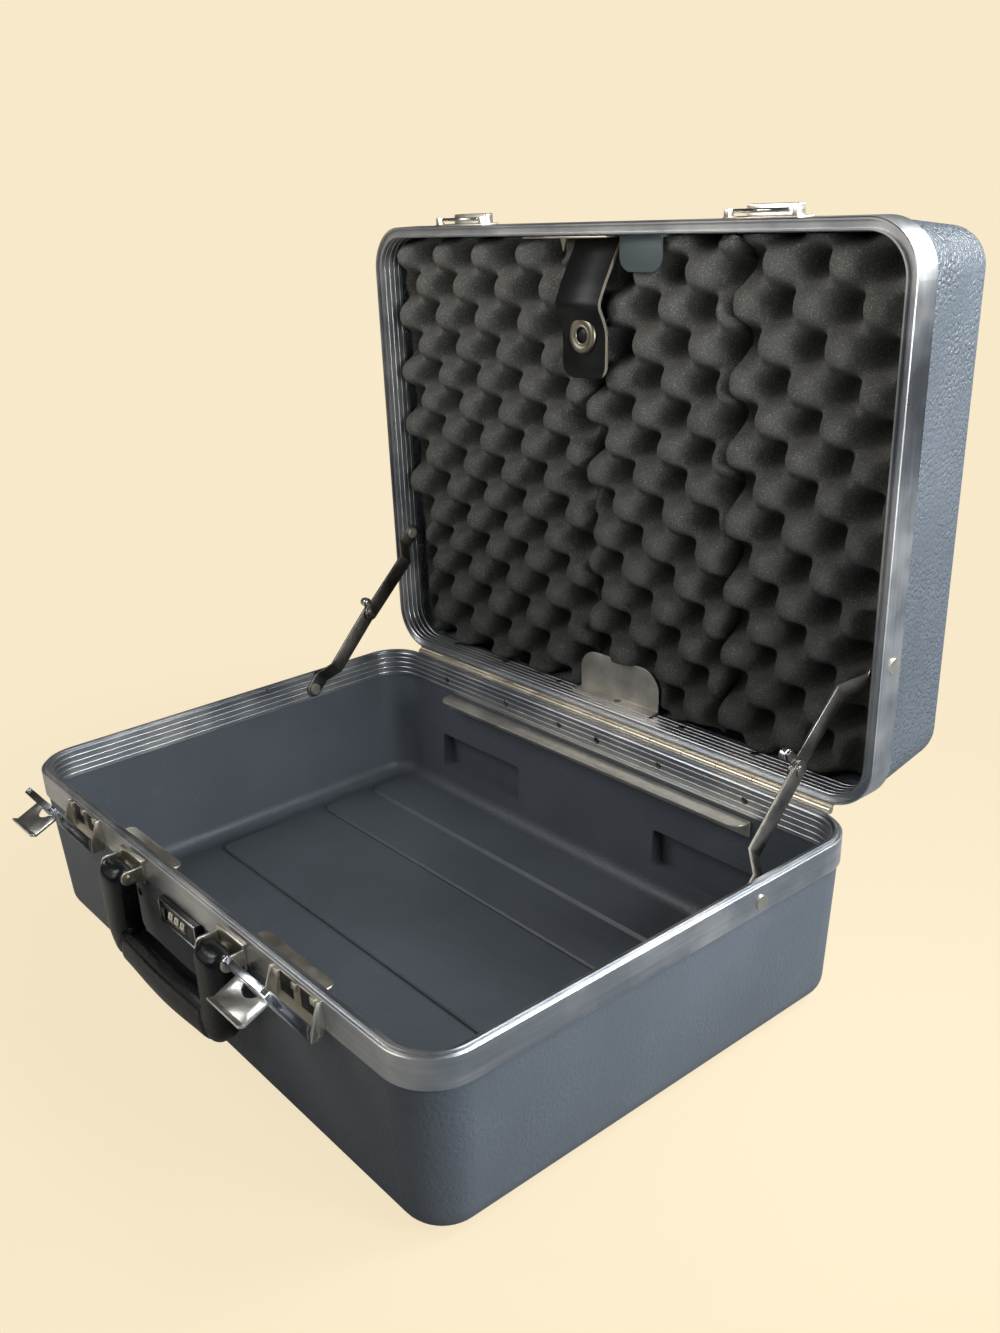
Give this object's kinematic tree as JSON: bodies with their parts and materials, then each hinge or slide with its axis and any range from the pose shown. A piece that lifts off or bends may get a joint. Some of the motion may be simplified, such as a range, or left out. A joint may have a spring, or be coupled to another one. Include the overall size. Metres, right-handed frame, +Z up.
{
  "type": "hard case",
  "caption": "Hard moulded attache tool case standing open, with a metal-framed rim, folding lid stays, draw latches, a dial lock, a swinging handle and a foam-lined lid.",
  "frame": {"origin": "centre of the flat underside of the base", "axes": "+X to the right along the hinge, +Y from the latches to the hinge, +Z up out of the base"},
  "size_m": [0.4518, 0.4534, 0.4428],
  "materials": {
    "shell": "satin, fine pebble grain",
    "frame": "extruded, worn satin",
    "hinge": "satin",
    "rivet": "satin",
    "angle": "satin, lightly scratched",
    "plate": "satin",
    "chrome": "bright",
    "stay": "satin",
    "latch": "plated, worn",
    "handle": "gloss",
    "lock": "satin",
    "dial": "satin",
    "foam": "open-cell foam, matt",
    "strap": "gloss"
  },
  "bodies": {
    "base": {"base_shell": "shell", "base_frame": "frame", "base_hinge_leaf": "hinge", "hinge_pin": "hinge", "rear_rail": "angle", "handle_pins": "rivet", "lock_housing": "lock", "dial_axle": "rivet", "front_bracket_left": "angle", "handle_bracket_left": "chrome", "latch_base_left": "latch", "latch_pin_left": "rivet", "base_stay_rivet_left": "rivet", "front_bracket_right": "angle", "handle_bracket_right": "chrome", "latch_base_right": "latch", "latch_pin_right": "rivet", "base_stay_rivet_right": "rivet"},
    "lid": {"lid_shell": "shell", "lid_frame": "frame", "lid_hinge_leaf": "hinge", "foam_left": "foam", "foam_centre": "foam", "foam_right": "foam", "strap": "strap", "strap_ring": "chrome", "strap_plate": "plate", "strap_tab": "plate", "hinge_plate": "plate", "keeper_left": "latch", "lid_stay_rivet_left": "rivet", "keeper_right": "latch", "lid_stay_rivet_right": "rivet"},
    "handle": {"handle": "handle"},
    "stay_lower_left": {"stay_lower_left": "stay"},
    "stay_upper_left": {"stay_upper_left": "stay", "stay_knob_left": "chrome"},
    "latch_hasp_left": {"latch_hasp_left": "latch", "latch_rod_left": "rivet"},
    "latch_lever_left": {"latch_lever_left": "chrome"},
    "stay_lower_right": {"stay_lower_right": "stay"},
    "stay_upper_right": {"stay_upper_right": "stay", "stay_knob_right": "chrome"},
    "latch_hasp_right": {"latch_hasp_right": "latch", "latch_rod_right": "rivet"},
    "latch_lever_right": {"latch_lever_right": "chrome"},
    "dial_1": {"dial_1": "dial"},
    "dial_2": {"dial_2": "dial"},
    "dial_3": {"dial_3": "dial"}
  },
  "joints": [
    {"name": "lid_hinge", "type": "hinge", "parent": "base", "child": "lid", "pos_m": [0, 0.1646, 0.1102], "axis": [1, 0, 0], "range_deg": [0, 90]},
    {"name": "handle_swing", "type": "hinge", "parent": "base", "child": "handle", "pos_m": [0, -0.1716, 0.097], "axis": [-1, 0, 0], "range_deg": [-5, 150]},
    {"name": "stay_lower_left_pivot", "type": "hinge", "parent": "base", "child": "stay_lower_left", "pos_m": [0, 0.0696, 0.0992], "axis": [1, 0, 0], "range_deg": [-38.5, 0.5]},
    {"name": "stay_upper_left_pivot", "type": "hinge", "parent": "lid", "child": "stay_upper_left", "pos_m": [0, 0.1756, 0.2052], "axis": [1, 0, 0], "range_deg": [-0.5, 38.5]},
    {"name": "latch_hasp_left_pivot", "type": "hinge", "parent": "base", "child": "latch_hasp_left", "pos_m": [0, -0.1665, 0.0916], "axis": [-1, 0, 0], "range_deg": [0, 30]},
    {"name": "latch_lever_left_pivot", "type": "hinge", "parent": "latch_hasp_left", "child": "latch_lever_left", "pos_m": [0, -0.18273, 0.11571], "axis": [1, 0, 0], "range_deg": [-10, 96]},
    {"name": "stay_lower_right_pivot", "type": "hinge", "parent": "base", "child": "stay_lower_right", "pos_m": [0, 0.0696, 0.0992], "axis": [1, 0, 0], "range_deg": [-38.5, 0.5]},
    {"name": "stay_upper_right_pivot", "type": "hinge", "parent": "lid", "child": "stay_upper_right", "pos_m": [0, 0.1756, 0.2052], "axis": [1, 0, 0], "range_deg": [-0.5, 38.5]},
    {"name": "latch_hasp_right_pivot", "type": "hinge", "parent": "base", "child": "latch_hasp_right", "pos_m": [0, -0.1665, 0.0916], "axis": [-1, 0, 0], "range_deg": [0, 30]},
    {"name": "latch_lever_right_pivot", "type": "hinge", "parent": "latch_hasp_right", "child": "latch_lever_right", "pos_m": [0, -0.18273, 0.11571], "axis": [1, 0, 0], "range_deg": [-10, 96]},
    {"name": "dial_1_turn", "type": "hinge", "parent": "base", "child": "dial_1", "pos_m": [0, -0.1606, 0.08435], "axis": [1, 0, 0], "continuous": true},
    {"name": "dial_2_turn", "type": "hinge", "parent": "base", "child": "dial_2", "pos_m": [0, -0.1606, 0.08435], "axis": [1, 0, 0], "continuous": true},
    {"name": "dial_3_turn", "type": "hinge", "parent": "base", "child": "dial_3", "pos_m": [0, -0.1606, 0.08435], "axis": [1, 0, 0], "continuous": true}
  ],
  "couplings": [
    {"joint": "stay_lower_left_pivot", "follows": "lid_hinge", "ratio": -0.42096},
    {"joint": "stay_upper_left_pivot", "follows": "lid_hinge", "ratio": 0.42096},
    {"joint": "stay_lower_right_pivot", "follows": "lid_hinge", "ratio": -0.42096},
    {"joint": "stay_upper_right_pivot", "follows": "lid_hinge", "ratio": 0.42096}
  ]
}
